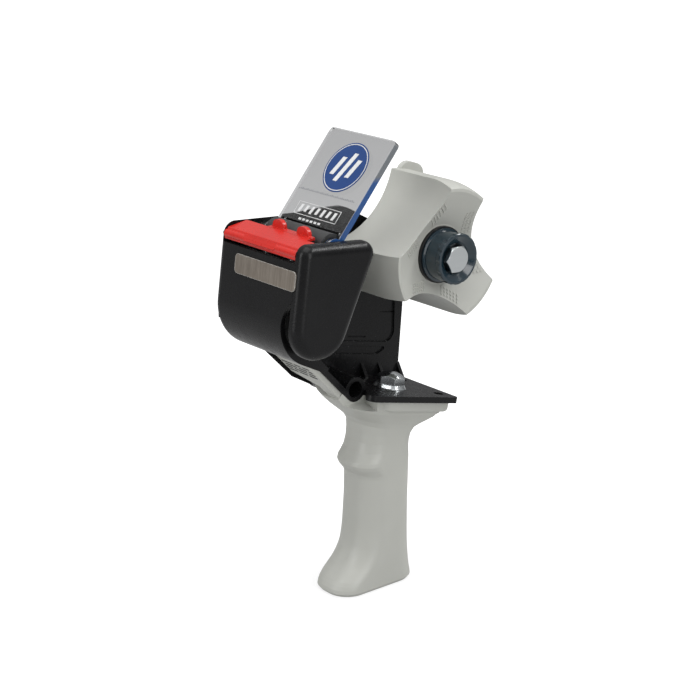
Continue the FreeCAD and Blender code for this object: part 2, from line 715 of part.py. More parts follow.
def blade_holder():
    """The cross bar that carries the blade, standing between the side wall and the cheek."""
    front = blade_profile(BLADE_THICK / 2)
    way = (front[1] - front[0])
    way.normalize()
    seat_low = front[0] - way * 1.5
    seat_high = front[0] + way * 8.0
    corners = [(seat_low.x, seat_low.y, 0), (seat_high.x, seat_high.y, 0), (-59.6, 191.0, 1),
               (-58.8, 184.5, 1)]
    bar = plate_x(corners, WALL_IN + 0.1, CHEEK_IN - 0.1)
    for x, y, z in blade_screw_places():
        bar = bar.cut(blade_hole(x, y, z, 1.2))
    return bar


def blade_screws():
    """Two short screws that clamp the blade to its bar."""
    low, high = blade_profile(0)
    way = high - low
    way.normalize()
    ahead = V(0, -way.y, way.x)
    screws = []
    for x, y, z in blade_screw_places():
        face = V(x, y, z) + ahead * (BLADE_THICK / 2)
        head = Part.makeCylinder(2.4, 1.2, face, ahead)
        shank = Part.makeCylinder(1.2, 4.0, face - ahead * 4.0, ahead)
        screws.append(merged([head, shank]))
    return Part.makeCompound(screws)


def blade_guard():
    """The red guard: a hinge barrel, a sloping front with a finger bar, a top and two rounded ears."""
    x0, x1 = GUARD_X
    thick = GUARD_THICK
    apron = plate_x([(GUARD_FRONT, 196.3, 0.6), (-72.3, 201.6, 0.8), (-61.0, GUARD_TOP, 0),
                     (-61.0, GUARD_TOP - thick, 0), (-71.2, 199.8, 0.5), (GUARD_FRONT + 1.6, 196.3, 0)], x0, x1)
    slant = plate_y([(x0 - 1, 195, 0), (x1 + 1, 195, 0), (x1 + 1, 196.3, 0), (x0 - 1, 197.9, 0)],
                    -80, PIN_Y - PIN_R - 0.5)
    barrel = rod_x(BARREL_R, x0, x1, PIN_Y, PIN_Z)
    step = block(-3.0, 28.5, -61.5, -57.0, GUARD_TOP - 1.6, GUARD_TOP)
    ears = [plate_y([(x - 5.0, GUARD_TOP - 1.2, 0), (x + 4.2, GUARD_TOP - 1.2, 0), (x + 3.9, GUARD_TOP + 4.0, 3.5),
                     (x - 3.9, GUARD_TOP + 4.0, 3.5)], -59.2, -57.0) for x in (3.2, 22.0)]
    bar = plate_y(rectangle(-4.2, 20.8, 0, 3.7, 1.7), -1.0, 0.8)
    bar.rotate(V(0, 0, 0), V(1, 0, 0), -34)
    bar.translate(V(0, GUARD_FRONT + 0.7, 197.8))
    body = merged([apron.cut(slant), barrel, step, bar] + ears)
    body = body.cut(block(30.0, 60, -63.3, -50, 190, 220))
    body = body.cut(rod_x(SPRING_BORE_R, x0 - 1, x0 + SPRING_BORE_DEPTH, PIN_Y, PIN_Z))
    return body.cut(rod_x(PIN_R + RUN_FIT, -60, 60, PIN_Y, PIN_Z))


def guard_pin():
    """The steel pin on which the guard flips."""
    return rod_x(PIN_R, PIN_FAR, CHEEK_IN + 2.0, PIN_Y, PIN_Z)


def guard_spring():
    """The small torsion spring on the guard's pin."""
    return coil_x(1.38, 0.3, 0.75, WALL_IN + 0.25, GUARD_X[0] + SPRING_BORE_DEPTH - 0.2, PIN_Y, PIN_Z)


# ---- clear flap ----
def leaned(shape):
    """The shape turned from lying back along +Y to the flap's lean, about the roller's shaft."""
    return lean(shape, FLAP_LEAN, ROLLER_Y, ROLLER_Z)


def tape_flap():
    """The clear flap with a lug at each end of the roller's shaft."""
    top = ROLLER_Z + FLAP_FACE
    x0, x1 = FLAP_X
    near = ROLLER_Y + FLAP_NEAR
    far = ROLLER_Y + FLAP_FAR
    plate = plate_z([(x0, near, 1), (x1, near, 1), (x1, far, 2.5), (x0, far, 2.5)], top - FLAP_THICK, top)
    lugs = []
    for x in (x0, x1 - LUG_THICK):
        disc = rod_x(LUG_R, x, x + LUG_THICK, ROLLER_Y, ROLLER_Z)
        web = block(x, x + LUG_THICK, ROLLER_Y, near + 3, top - FLAP_THICK, top)
        lugs += [disc, web]
    body = merged([plate] + lugs)
    return leaned(body.cut(rod_x(SHAFT_R + RUN_FIT, -60, 60, ROLLER_Y, ROLLER_Z)))


def flap_badge():
    """The round sticker on the flap."""
    middle = V(BADGE_X, ROLLER_Y + BADGE_REACH, ROLLER_Z + FLAP_FACE)
    return leaned(Part.makeCylinder(BADGE_R, 0.15, middle))


def flap_spring():
    """The torsion spring that keeps the flap back against its stop."""
    return coil_x(2.92, 0.35, 0.8, FLAP_X[1] + 0.25, FLAP_SPRING_END - 0.2, ROLLER_Y, ROLLER_Z)


# ---- hub ----
def lobe_prism(seat, flank, x0, x1):
    """A three-lobed prism with hollow flanks."""
    edges = []
    half = math.radians(LOBE_HALF)
    for i, angle in enumerate(sorted(LOBE_ANGLES)):
        turn = math.radians(angle)
        points = [polar(seat, turn - half), polar(seat, turn), polar(seat, turn + half)]
        following = math.radians(sorted(LOBE_ANGLES)[(i + 1) % 3]) + (2 * math.pi if i == 2 else 0)
        valley = polar(flank, (turn + following) / 2)
        start = polar(seat, following - half)
        edges.append(Part.Arc(*[V(x0, *p) for p in points]).toShape())
        edges.append(Part.Arc(V(x0, *points[2]), V(x0, *valley), V(x0, *start)).toShape())
    return Part.Face(Part.Wire(edges)).extrude(V(x1 - x0, 0, 0))


def polar(radius, angle):
    """A point about the hub's axis."""
    return HUB_Y + radius * math.cos(angle), HUB_Z + radius * math.sin(angle)


def hub_envelope():
    """The turned limit of the lobes: a straight seat that curves in to the tip."""
    long = HUB_FRONT - HUB_TAPER
    drop = SEAT_R - TIP_R
    bend = (long * long + drop * drop) / (2 * drop)
    middle = bend - math.sqrt(bend * bend - long * long / 4)
    points = [V(x, HUB_Y, HUB_Z + radius) for x, radius in (
        (HUB_BACK, 0), (HUB_BACK, SEAT_R), (HUB_TAPER, SEAT_R), (HUB_TAPER + long / 2, SEAT_R - middle),
        (HUB_FRONT, TIP_R), (HUB_FRONT, 0))]
    lead_in = Part.Arc(points[2], points[3], points[4]).toShape()
    edges = list(Part.makePolygon(points[:3]).Edges) + [lead_in, Part.makeLine(points[4], points[5]),
                                                        Part.makeLine(points[5], points[0])]
    return Part.Face(Part.Wire(edges)).revolve(V(0, HUB_Y, HUB_Z), V(1, 0, 0), 360)


def tape_hub():
    """The three-lobed core holder, a shell open to the side wall, with a braked centre."""
    prism = lobe_prism(SEAT_R, FLANK_R, HUB_BACK, HUB_FRONT)
    taper = hub_envelope()
    dish = turned_x([(KNOB_BASE, 0), (KNOB_BASE, DISH_R), (HUB_FRONT + 0.01, TIP_R - 1.5),
                     (HUB_FRONT + 5, TIP_R - 1.5), (HUB_FRONT + 5, 0)], HUB_Y, HUB_Z)
    shell = prism.common(taper).cut(dish)
    inner = lobe_prism(SEAT_R - HUB_WALL, FLANK_R - HUB_WALL, HUB_BACK - 1, HUB_FRONT)
    inner = inner.common(turned_x([(HUB_BACK - 1, 0), (HUB_BACK - 1, SEAT_R), (KNOB_BASE + 2.6, TIP_R - HUB_WALL),
                                   (KNOB_BASE - HUB_WALL, DISH_R), (KNOB_BASE - HUB_WALL, 0)], HUB_Y, HUB_Z))
    boss = rod_x(HUB_BOSS_R, HUB_BACK, KNOB_BASE - 1, HUB_Y, HUB_Z)
    stops = [stop_tab(angle) for angle in LOBE_ANGLES]
    body = merged([shell.cut(inner), boss] + stops)
    body = body.cut(rod_x(POCKET_R, POCKET_FLOOR, HUB_FRONT + 1, HUB_Y, HUB_Z))
    return body.cut(rod_x(AXLE_R + RUN_FIT, HUB_BACK - 1, HUB_FRONT, HUB_Y, HUB_Z))


def stop_tab(angle):
    """The raised stop behind one lobe, which sets how far the core slides on."""
    half = STOP_WIDTH / 2
    tab = plate_x([(SEAT_R - 4, -half, 0), (STOP_R, -half, 6.5), (STOP_R, half, 6.5), (SEAT_R - 4, half, 0)],
                  HUB_BACK, HUB_BACK + STOP_THICK)
    tab.rotate(V(0, 0, 0), V(1, 0, 0), angle)
    tab.translate(V(0, HUB_Y, HUB_Z))
    return tab


def friction_disc():
    """The fibre disc that the spring presses on the hub's floor."""
    return ring_x(POCKET_R - 0.3, AXLE_R + RUN_FIT, POCKET_FLOOR, POCKET_FLOOR + 1.6, HUB_Y, HUB_Z)


def brake_spring():
    """The compression spring between the disc and the knob."""
    return coil_x(6.2, 0.7, 2.6, POCKET_FLOOR + 1.8, KNOB_BASE - 0.1, HUB_Y, HUB_Z)


def brake_knob():
    """The dished knob with a bead at its root and a fluted rim, which sets the drag."""
    bore = AXLE_R + RUN_FIT
    root = KNOB_BASE + 1.8
    solid = turned_x([(root, bore), (root, KNOB_BEAD_R), (root + 1.0, KNOB_BEAD_R), (root + 1.3, KNOB_R),
                      (KNOB_FRONT - 3.4, KNOB_R - 0.3), (KNOB_FRONT - 2.4, KNOB_RIM_R),
                      (KNOB_FRONT - 0.4, KNOB_RIM_R), (KNOB_FRONT, KNOB_RIM_R - 0.4), (KNOB_FRONT, KNOB_DISH_R),
                      (KNOB_FRONT - 2.0, KNOB_RECESS_R + 0.7), (KNOB_FRONT - 2.6, KNOB_RECESS_R),
                      (KNOB_FLOOR, KNOB_RECESS_R), (KNOB_FLOOR, bore)], HUB_Y, HUB_Z)
    grooves = []
    for i in range(KNOB_FLUTES):
        turn = 2 * math.pi * i / KNOB_FLUTES
        grooves.append(rod_x(2.2, KNOB_FRONT - 3.0, KNOB_FRONT + 1, *polar(KNOB_RIM_R + 1.7, turn)))
    return solid.cut(grooves[0].fuse(grooves[1:]))


def knob_collar():
    """The black flanged collar behind the knob."""
    return ring_x(KNOB_FLANGE_R, AXLE_R + RUN_FIT, KNOB_BASE + 0.1, KNOB_BASE + 1.8, HUB_Y, HUB_Z)


def hub_axle():
    """The hex bolt on which the hub turns."""
    shank = rod_x(AXLE_R, -32.0, KNOB_FLOOR + 0.8, HUB_Y, HUB_Z)
    head = hex_x(BOLT_AF, KNOB_FLOOR + 0.8, KNOB_FLOOR + 0.8 + BOLT_HEAD, HUB_Y, HUB_Z)
    radius = BOLT_AF / math.sqrt(3)
    cap = turned_x([(KNOB_FLOOR, 0), (KNOB_FLOOR, radius + 1), (KNOB_FLOOR + 5.2, radius + 0.4),
                    (KNOB_FLOOR + 6.2, radius - 1.0), (KNOB_FLOOR + 6.2, 0)], HUB_Y, HUB_Z)
    return merged([shank, head.common(cap)])


def axle_washers():
    """The flat washers under the bolt's head and under its nut."""
    near = ring_x(7.4, AXLE_R, KNOB_FLOOR, KNOB_FLOOR + 0.8, HUB_Y, HUB_Z)
    far = ring_x(8.0, AXLE_R, WALL_OUT - 1.6, WALL_OUT, HUB_Y, HUB_Z)
    return Part.makeCompound([near, far])


def axle_nut():
    """The locking nut outside the side wall."""
    nut = hex_x(BOLT_AF, WALL_OUT - 8.1, WALL_OUT - 1.6, HUB_Y, HUB_Z)
    return nut.cut(rod_x(AXLE_R, -60, 0, HUB_Y, HUB_Z))


def hub_spacer():
    """The bush between the side wall's boss and the hub."""
    return ring_x(8.0, AXLE_R, BOSS_END, HUB_BACK - 0.05, HUB_Y, HUB_Z)


PARTS = {
    "frame": frame,
    "handle": handle,
    "foot_cap": foot_cap,
    "grip_bolt": grip_bolt,
    "flange_nut": flange_nut,
    "head_cover": head_cover,
    "name_plate": name_plate,
    "cover_screws": cover_screws,
    "roller_shaft": lambda: shaft(ROLLER_Y, ROLLER_Z),
    "feed_shaft": lambda: shaft(FEED_Y, FEED_Z),
    "shaft_clips": shaft_clips,
    "roller_core": roller_core,
    "roller_tyre": roller_tyre,
    "feed_core": feed_core,
    "feed_tyre": feed_tyre,
    "blade": blade,
    "blade_holder": blade_holder,
    "blade_screws": blade_screws,
    "blade_guard": blade_guard,
    "guard_pin": guard_pin,
    "guard_spring": guard_spring,
    "tape_flap": tape_flap,
    "flap_badge": flap_badge,
    "flap_spring": flap_spring,
    "tape_hub": tape_hub,
    "friction_disc": friction_disc,
    "brake_spring": brake_spring,
    "brake_knob": brake_knob,
    "knob_collar": knob_collar,
    "hub_axle": hub_axle,
    "axle_washers": axle_washers,
    "axle_nut": axle_nut,
    "hub_spacer": hub_spacer,
}


def main():
    """Build every node."""
    os.makedirs("parts", exist_ok=True)
    for name, make in PARTS.items():
        save(name, make())


main()
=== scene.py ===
"""Looks for the packing-tape gun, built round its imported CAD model."""
import json
import math

import bmesh
import bpy
from mathutils import Matrix, Vector


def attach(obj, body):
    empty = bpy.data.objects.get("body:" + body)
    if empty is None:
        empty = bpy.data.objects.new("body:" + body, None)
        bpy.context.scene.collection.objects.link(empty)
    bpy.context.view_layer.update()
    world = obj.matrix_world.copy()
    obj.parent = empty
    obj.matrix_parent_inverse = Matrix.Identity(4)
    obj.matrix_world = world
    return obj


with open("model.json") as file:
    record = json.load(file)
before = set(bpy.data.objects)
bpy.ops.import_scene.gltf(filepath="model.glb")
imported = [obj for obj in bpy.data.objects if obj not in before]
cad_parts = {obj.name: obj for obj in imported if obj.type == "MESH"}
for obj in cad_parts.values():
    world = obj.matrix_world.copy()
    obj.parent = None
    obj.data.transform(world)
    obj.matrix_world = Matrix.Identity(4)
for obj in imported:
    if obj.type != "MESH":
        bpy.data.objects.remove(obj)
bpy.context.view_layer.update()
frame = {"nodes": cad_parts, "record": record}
nodes = frame["nodes"]
MM = 0.001
V = Vector


# ---- camera ----
AZIMUTH = 49.954
DROP = 17.723
ROLL = 0.406
CAMERA_MM = (663.047, -568.262, 408.166)
LENS = 91.63


def make_camera():
    """The camera at the photograph's place and angle."""
    turn, drop, roll = (math.radians(value) for value in (AZIMUTH, DROP, ROLL))
    right = V((math.cos(turn), math.sin(turn), 0))
    ahead = V((-math.sin(turn) * math.cos(drop), math.cos(turn) * math.cos(drop), -math.sin(drop)))
    up = right.cross(ahead)
    rolled = right * math.cos(roll) + up * math.sin(roll)
    upright = up * math.cos(roll) - right * math.sin(roll)
    data = bpy.data.cameras.new("camera")
    data.lens = LENS
    data.sensor_width = 36
    data.clip_start = 0.05
    data.clip_end = 20
    camera = bpy.data.objects.new("camera", data)
    matrix = Matrix((rolled, upright, -ahead)).transposed().to_4x4()
    matrix.translation = V(CAMERA_MM) * MM
    camera.matrix_world = matrix
    bpy.context.scene.collection.objects.link(camera)
    bpy.context.scene.camera = camera


# ---- materials ----
class Paint:
    """A Principled material with its node tree at hand."""

    def __init__(self, name, **sockets):
        self.material = bpy.data.materials.new(name)
        self.material.use_nodes = True
        self.tree = self.material.node_tree
        self.shader = self.tree.nodes["Principled BSDF"]
        self.place = self.node("ShaderNodeTexCoord").outputs["Object"]
        for socket, value in sockets.items():
            self.shader.inputs[socket.replace("_", " ")].default_value = value

    def node(self, kind, **settings):
        """A new node with its settings."""
        made = self.tree.nodes.new(kind)
        for key, value in settings.items():
            setattr(made, key, value)
        return made

    def link(self, start, end):
        """Join two sockets."""
        self.tree.links.new(start, end)

    def stretched(self, scale):
        """Object coordinates stretched along the axes."""
        mapping = self.node("ShaderNodeMapping")
        mapping.inputs["Scale"].default_value = scale
        self.link(self.place, mapping.inputs["Vector"])
        return mapping.outputs["Vector"]

    def noise(self, scale, detail=3.0, roughness=0.55, where=None):
        """A noise value between nought and one."""
        made = self.node("ShaderNodeTexNoise")
        made.inputs["Scale"].default_value = scale
        made.inputs["Detail"].default_value = detail
        made.inputs["Roughness"].default_value = roughness
        self.link(where or self.place, made.inputs["Vector"])
        return made.outputs["Fac"]

    def between(self, value, low, high, start=0.0, end=1.0):
        """A value carried from one range to another."""
        made = self.node("ShaderNodeMapRange")
        made.inputs["From Min"].default_value = start
        made.inputs["From Max"].default_value = end
        made.inputs["To Min"].default_value = low
        made.inputs["To Max"].default_value = high
        self.link(value, made.inputs["Value"])
        return made.outputs["Result"]

    def blend(self, share, first, second):
        """A colour between two colours."""
        made = self.node("ShaderNodeMix", data_type="RGBA")
        self.link(share, made.inputs["Factor"])
        for socket, colour in ((made.inputs["A"], first), (made.inputs["B"], second)):
            if isinstance(colour, tuple):
                socket.default_value = (*colour, 1)
            else:
                self.link(colour, socket)
        return made.outputs["Result"]

    def bump(self, value, depth, under=None):
        """A bump of a real depth in metres, on top of another normal."""
        made = self.node("ShaderNodeBump")
        made.inputs["Distance"].default_value = depth
        made.inputs["Strength"].default_value = 1.0
        self.link(value, made.inputs["Height"])
        if under is not None:
            self.link(under, made.inputs["Normal"])
        return made.outputs["Normal"]

    def rounded(self, radius):
        """A normal that rounds sharp edges."""
        made = self.node("ShaderNodeBevel", samples=6)
        made.inputs["Radius"].default_value = radius
        return made.outputs["Normal"]

    def edge_highlight_mask(self, radius):
        """Near one at sharp edges and nought elsewhere; the mask for painted edge highlights."""
        made = self.node("ShaderNodeBevel", samples=6)
        made.inputs["Radius"].default_value = radius
        flat = self.node("ShaderNodeNewGeometry")
        dot = self.node("ShaderNodeVectorMath", operation="DOT_PRODUCT")
        self.link(made.outputs["Normal"], dot.inputs[0])
        self.link(flat.outputs["Normal"], dot.inputs[1])
        return self.between(dot.outputs["Value"], 1.0, 0.0, 0.75, 1.0)

    def colour(self, value):
        """Set the base colour from a socket."""
        self.link(value, self.shader.inputs["Base Color"])

    def rough(self, value):
        """Set the roughness from a socket."""
        self.link(value, self.shader.inputs["Roughness"])

    def normal(self, value):
        """Set the normal from a socket."""
        self.link(value, self.shader.inputs["Normal"])


# ---- stage ----
def area_light(name, place, target, size, watts):
    """A soft rectangular light aimed at a point."""
    data = bpy.data.lights.new(name, "AREA")
    data.shape = "RECTANGLE"
    data.size, data.size_y = size
    data.energy = watts
    lamp = bpy.data.objects.new(name, data)
    lamp.location = place
    lamp.rotation_mode = "QUATERNION"
    lamp.rotation_quaternion = (V(target) - V(place)).to_track_quat("-Z", "Y")
    bpy.context.scene.collection.objects.link(lamp)


def floor_paper():
    """White paper that stays evenly white to the camera and shows only a faint shadow at the foot."""
    paint = Paint("paper", Base_Color=(0.30, 0.30, 0.30, 1), Roughness=0.9, Specular_IOR_Level=0.0)
    paint.shader.inputs["Emission Color"].default_value = (1, 1, 1, 1)
    reach = paint.node("ShaderNodeVectorMath", operation="LENGTH")
    paint.link(paint.place, reach.inputs[0])
    glow = paint.between(reach.outputs["Value"], 0.74, 1.0, 0.04, 0.16)
    ray = paint.node("ShaderNodeLightPath")
    seen = paint.node("ShaderNodeMix")
    paint.link(ray.outputs["Is Camera Ray"], seen.inputs["Factor"])
    seen.inputs["A"].default_value = 0.24
    paint.link(glow, seen.inputs["B"])
    paint.link(seen.outputs["Result"], paint.shader.inputs["Emission Strength"])
    return paint.material


def make_floor():
    """A large square of white paper just under the foot."""
    mesh = bpy.data.meshes.new("floor")
    shape = bmesh.new()
    bmesh.ops.create_grid(shape, x_segments=1, y_segments=1, size=6)
    shape.to_mesh(mesh)
    shape.free()
    floor = bpy.data.objects.new("floor", mesh)
    bpy.context.scene.collection.objects.link(floor)
    floor.location = (0, 0, -0.0002)
    mesh.materials.append(floor_paper())


def make_surround():
    """A surround that is white to the camera, and lights the object from grey below to pale above."""
    world = bpy.data.worlds.new("surround")
    bpy.context.scene.world = world
    world.use_nodes = True
    tree = world.node_tree
    tree.nodes.clear()
    out = tree.nodes.new("ShaderNodeOutputWorld")
    sky = tree.nodes.new("ShaderNodeBackground")
    place = tree.nodes.new("ShaderNodeTexCoord")
    split = tree.nodes.new("ShaderNodeSeparateXYZ")
    ramp = tree.nodes.new("ShaderNodeValToRGB")
    tree.links.new(place.outputs["Generated"], split.inputs[0])
    height = tree.nodes.new("ShaderNodeMapRange")
    height.inputs["From Min"].default_value = -1
    height.inputs["From Max"].default_value = 1
    tree.links.new(split.outputs["Z"], height.inputs["Value"])
    tree.links.new(height.outputs["Result"], ramp.inputs["Fac"])
    ramp.color_ramp.elements[0].position = 0.48
    ramp.color_ramp.elements[0].color = (0.16, 0.16, 0.165, 1)
    ramp.color_ramp.elements[1].position = 0.85
    ramp.color_ramp.elements[1].color = (0.75, 0.75, 0.76, 1)
    tree.links.new(ramp.outputs["Color"], sky.inputs["Color"])
    sky.inputs["Strength"].default_value = 0.75
    white = tree.nodes.new("ShaderNodeBackground")
    white.inputs["Color"].default_value = (1, 1, 1, 1)
    white.inputs["Strength"].default_value = 1.1
    ray = tree.nodes.new("ShaderNodeLightPath")
    mix = tree.nodes.new("ShaderNodeMixShader")
    tree.links.new(ray.outputs["Is Camera Ray"], mix.inputs[0])
    tree.links.new(sky.outputs[0], mix.inputs[1])
    tree.links.new(white.outputs[0], mix.inputs[2])
    tree.links.new(mix.outputs[0], out.inputs["Surface"])


def make_lights():
    """Three soft lights, and a slim one behind that picks out the upper edges."""
    area_light("overhead", (0.05, -0.15, 1.15), (0, 0, 0.1), (1.0, 1.0), 7)
    area_light("right_soft", (1.3, -0.1, 0.5), (0, 0, 0.15), (0.5, 1.0), 6.5)
    area_light("front_left", (-0.30, -1.25, 0.55), (0, 0, 0.15), (0.45, 1.0), 6)
    area_light("edge_strip", (0.35, 0.75, 0.95), (0, 0, 0.18), (0.9, 0.12), 5)
    bpy.context.scene.view_settings.view_transform = "Standard"


# ---- finishes ----
MOULDED_EDGE = 0.00035            # metres, as are the edges below
GLOSSY_EDGE = 0.0004
METAL_EDGE = 0.0003
ROUGH_SPREAD = 0.06


def moulded(name, colour, darker, roughness, grain, grain_depth, shine=0.5):
    """Moulded plastic: slow colour drift, a fine grain, softened edges, and a painted highlight that makes
    sharp edges slightly paler.
    """
    paint = Paint(name, Specular_IOR_Level=shine)
    drift = paint.between(paint.noise(38, 2.0), 0, 1, 0.3, 0.7)
    body = paint.blend(drift, darker, colour)
    # Painted highlight: sharp edges are blended up to half way towards a paler colour, standing in for light
    # caught on the edges.
    painted_edge_highlight = paint.edge_highlight_mask(MOULDED_EDGE * 2.2)
    pale = tuple(min(1.0, c * 1.25 + 0.01) for c in colour)
    paint.colour(paint.blend(paint.between(painted_edge_highlight, 0, 0.5), body, pale))
    speck = paint.noise(grain, 2.0, 0.6)
    smooth, coarse = roughness - ROUGH_SPREAD, roughness + ROUGH_SPREAD
    paint.rough(paint.between(paint.noise(240, 3.0), smooth, coarse, 0.3, 0.7))
    paint.normal(paint.bump(speck, grain_depth, paint.rounded(MOULDED_EDGE)))
    return paint.material


def polished(name, colour, roughness):
    """Bright metal with fine scratches."""
    paint = Paint(name, Metallic=1.0)
    marks = paint.noise(1.0, 4.0, 0.7, paint.stretched((900, 60, 900)))
    paint.colour(paint.blend(paint.between(marks, 0, 1, 0.3, 0.7), tuple(c * 0.88 for c in colour), colour))
    paint.rough(paint.between(marks, roughness * 0.7, roughness * 1.4, 0.3, 0.7))
    paint.normal(paint.bump(marks, 0.000004, paint.rounded(METAL_EDGE)))
    return paint.material


FLAP_EDGE = (0.0342, 0.0349)      # the flap's near edge, in metres along X
# Painted reflection: the heights in metres under which the flap's near edge is tinted blue.
FLAP_BLUE_REFLECTION = (0.226, 0.229)        # the height in metres under which that edge looks blue


def clear_plastic(name):
    """Clear flap plastic with a faint smoke tint; its near edge has painted grey shade and less
    transmission, with a painted blue reflection low down.
    """
    paint = Paint(name, Transmission_Weight=1.0, IOR=1.45)
    smear = paint.noise(60, 3.0)
    paint.rough(paint.between(smear, 0.01, 0.04, 0.35, 0.75))
    clear = paint.blend(smear, (0.93, 0.935, 0.94), (0.88, 0.885, 0.89))
    split = paint.node("ShaderNodeSeparateXYZ")
    paint.link(paint.place, split.inputs[0])
    edge = paint.between(split.outputs["X"], 0, 1, *FLAP_EDGE)
    low = paint.between(split.outputs["Z"], 1, 0, *FLAP_BLUE_REFLECTION)
    both = paint.node("ShaderNodeMath", operation="MULTIPLY")
    paint.link(edge, both.inputs[0])
    paint.link(low, both.inputs[1])
    # Painted shade and reflection: the near edge is painted grey, turning to a blue reflection low down.
    painted_edge_shade_and_reflection = paint.blend(both.outputs["Value"], (0.24, 0.26, 0.28), (0.035, 0.12, 0.36))
    paint.colour(paint.blend(edge, clear, painted_edge_shade_and_reflection))
    paint.link(paint.between(edge, 1.0, 0.35), paint.shader.inputs["Transmission Weight"])
    return paint.material


def brushed_plate(name):
    """Warm silver plate with vertical brushing, and a painted highlight on its edges."""
    paint = Paint(name, Metallic=0.75)
    lines = paint.noise(1.0, 5.0, 0.65, paint.stretched((1400, 60, 60)))
    blotch = paint.noise(90, 3.0)
    base = paint.blend(paint.between(lines, 0, 1, 0.3, 0.7), (0.20, 0.17, 0.14), (0.31, 0.275, 0.235))
    base = paint.blend(paint.between(blotch, 0, 0.3, 0.4, 0.7), base, (0.16, 0.14, 0.12))
    # Painted highlight: the plate's sharp edges are blended towards pale silver, standing in for light
    # caught on the edges.
    painted_edge_highlight = paint.edge_highlight_mask(0.0006)
    paint.colour(paint.blend(painted_edge_highlight, base, (0.75, 0.75, 0.72)))
    paint.rough(paint.between(lines, 0.34, 0.55, 0.3, 0.7))
    paint.normal(paint.bump(lines, 0.000015, paint.rounded(0.0004)))
    return paint.material


def glossy(name, colour, roughness, coat=0.0):
    """Glossy moulded plastic with faint flow marks."""
    paint = Paint(name, Coat_Weight=coat, Coat_Roughness=0.05)
    flow = paint.noise(30, 3.0)
    paint.colour(paint.blend(paint.between(flow, 0, 1, 0.3, 0.7), tuple(c * 0.9 for c in colour), colour))
    paint.rough(paint.between(paint.noise(200, 2.0), roughness * 0.8, roughness * 1.2, 0.3, 0.7))
    ripple = paint.bump(flow, 0.00004, paint.rounded(GLOSSY_EDGE))
    paint.normal(paint.bump(paint.noise(2600, 2.0), 0.000006, ripple))
    return paint.material


GREY = (0.455, 0.46, 0.425)
GREY_DARK = (0.435, 0.44, 0.405)
BLACK = (0.0085, 0.0085, 0.009)
NYLON = (0.008, 0.008, 0.0085)
BLACK_DARK = (0.006, 0.006, 0.0065)
RUBBER = (0.035, 0.036, 0.036)
RUBBER_DARK = (0.028, 0.029, 0.029)
FIBRE = (0.24, 0.18, 0.12)
FIBRE_DARK = (0.20, 0.15, 0.10)
MATERIALS = {
    "grey_plastic": lambda name: moulded(name, GREY, GREY_DARK, 0.42, 2600, 0.000012),
    "black_plastic": lambda name: moulded(name, BLACK, BLACK_DARK, 0.27, 2200, 0.000012, shine=0.2),
    "black_nylon": lambda name: moulded(name, NYLON, BLACK_DARK, 0.3, 1800, 0.00001, shine=0.35),
    "roller_rubber": lambda name: moulded(name, RUBBER, RUBBER_DARK, 0.45, 3000, 0.00002),
    "red_plastic": lambda name: glossy(name, (0.58, 0.017, 0.010), 0.28, 0.1),
    "knob_teal": lambda name: glossy(name, (0.006, 0.021, 0.032), 0.16, 0.5),
    "badge_blue": lambda name: glossy(name, (0.006, 0.045, 0.19), 0.4),
    "zinc_steel": lambda name: polished(name, (0.66, 0.69, 0.70), 0.2),
    "bright_steel": lambda name: polished(name, (0.62, 0.62, 0.62), 0.25),
    "blade_steel": lambda name: polished(name, (0.66, 0.66, 0.66), 0.3),
    "plate_metal": brushed_plate,
    "clear_plastic": clear_plastic,
    "mark_white": lambda name: glossy(name, (0.72, 0.73, 0.73), 0.45),
    "mark_grey": lambda name: glossy(name, (0.24, 0.25, 0.27), 0.5),
    "mark_black": lambda name: glossy(name, (0.012, 0.012, 0.012), 0.5),
    "fibre": lambda name: moulded(name, FIBRE, FIBRE_DARK, 0.7, 900, 0.00004),
}


def paint_nodes(paints):
    """Give every CAD node the material of its record slot."""
    for row in frame["record"]["subparts"]:
        mesh = nodes[row["node"]].data
        mesh.materials.clear()
        mesh.materials.append(paints[row["material_slot"]])


# ---- details ----
FLAP_LEAN = math.radians(50.4)
ROLLER_MM = V((0, -50.1, 197.7))
STICKER_LIFT = 0.78             # the badge's face, off the plane through the roller's axis
FLAP_LIFT = 0.6
FLAP_OUT = V((0, -math.sin(FLAP_LEAN), math.cos(FLAP_LEAN)))
BADGE_CENTRE = (11.9, 41.1)     # across the flap, and along it from the roller's axis
RING_INNER = 12.75
RING_OUTER = 13.25
RING_STEPS = 64
BADGE_BAR = 1.5                 # half the width of a bar on the badge
BADGE_SLANT = 0.3
PRINT_THICK = 0.05
HUB_MM = V((0, 29.0, 180.0))
VALLEYS = (10.8, 130.8, 250.8)  # degrees round the hub
FLANK_CENTRE = 64.58
FLANK_BEND = 44.08
DISH_BASE = 22.4
DISH_R = 15.5
DISH_SLOPE = 0.453
TICK_U = 0.6
TICK_V = 0.35
TICK_HIGH = 0.5


class Marks:
    """Small raised shapes gathered into one mesh."""

    def __init__(self, name, body, paint):
        self.name = name
        self.body = body
        self.paint = paint
        self.shape = bmesh.new()

    def slab(self, corners, thick):
        """A thin slab over a ring of corners in millimetres, raised along a vector."""
        low = [self.shape.verts.new(V(corner) * MM) for corner in corners]
        high = [self.shape.verts.new((V(corner) + thick) * MM) for corner in corners]
        count = len(corners)
        self.shape.faces.new(high)
        self.shape.faces.new(list(reversed(low)))
        for i in range(count):
            following = (i + 1) % count
            self.shape.faces.new((low[i], low[following], high[following], high[i]))

    def finish(self):
        """Put the mesh in the scene, riding on its body."""
        bmesh.ops.recalc_face_normals(self.shape, faces=self.shape.faces)
        mesh = bpy.data.meshes.new(self.name)
        self.shape.to_mesh(mesh)
        self.shape.free()
        mesh.materials.append(self.paint)
        made = bpy.data.objects.new(self.name, mesh)
        bpy.context.scene.collection.objects.link(made)
        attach(made, self.body)


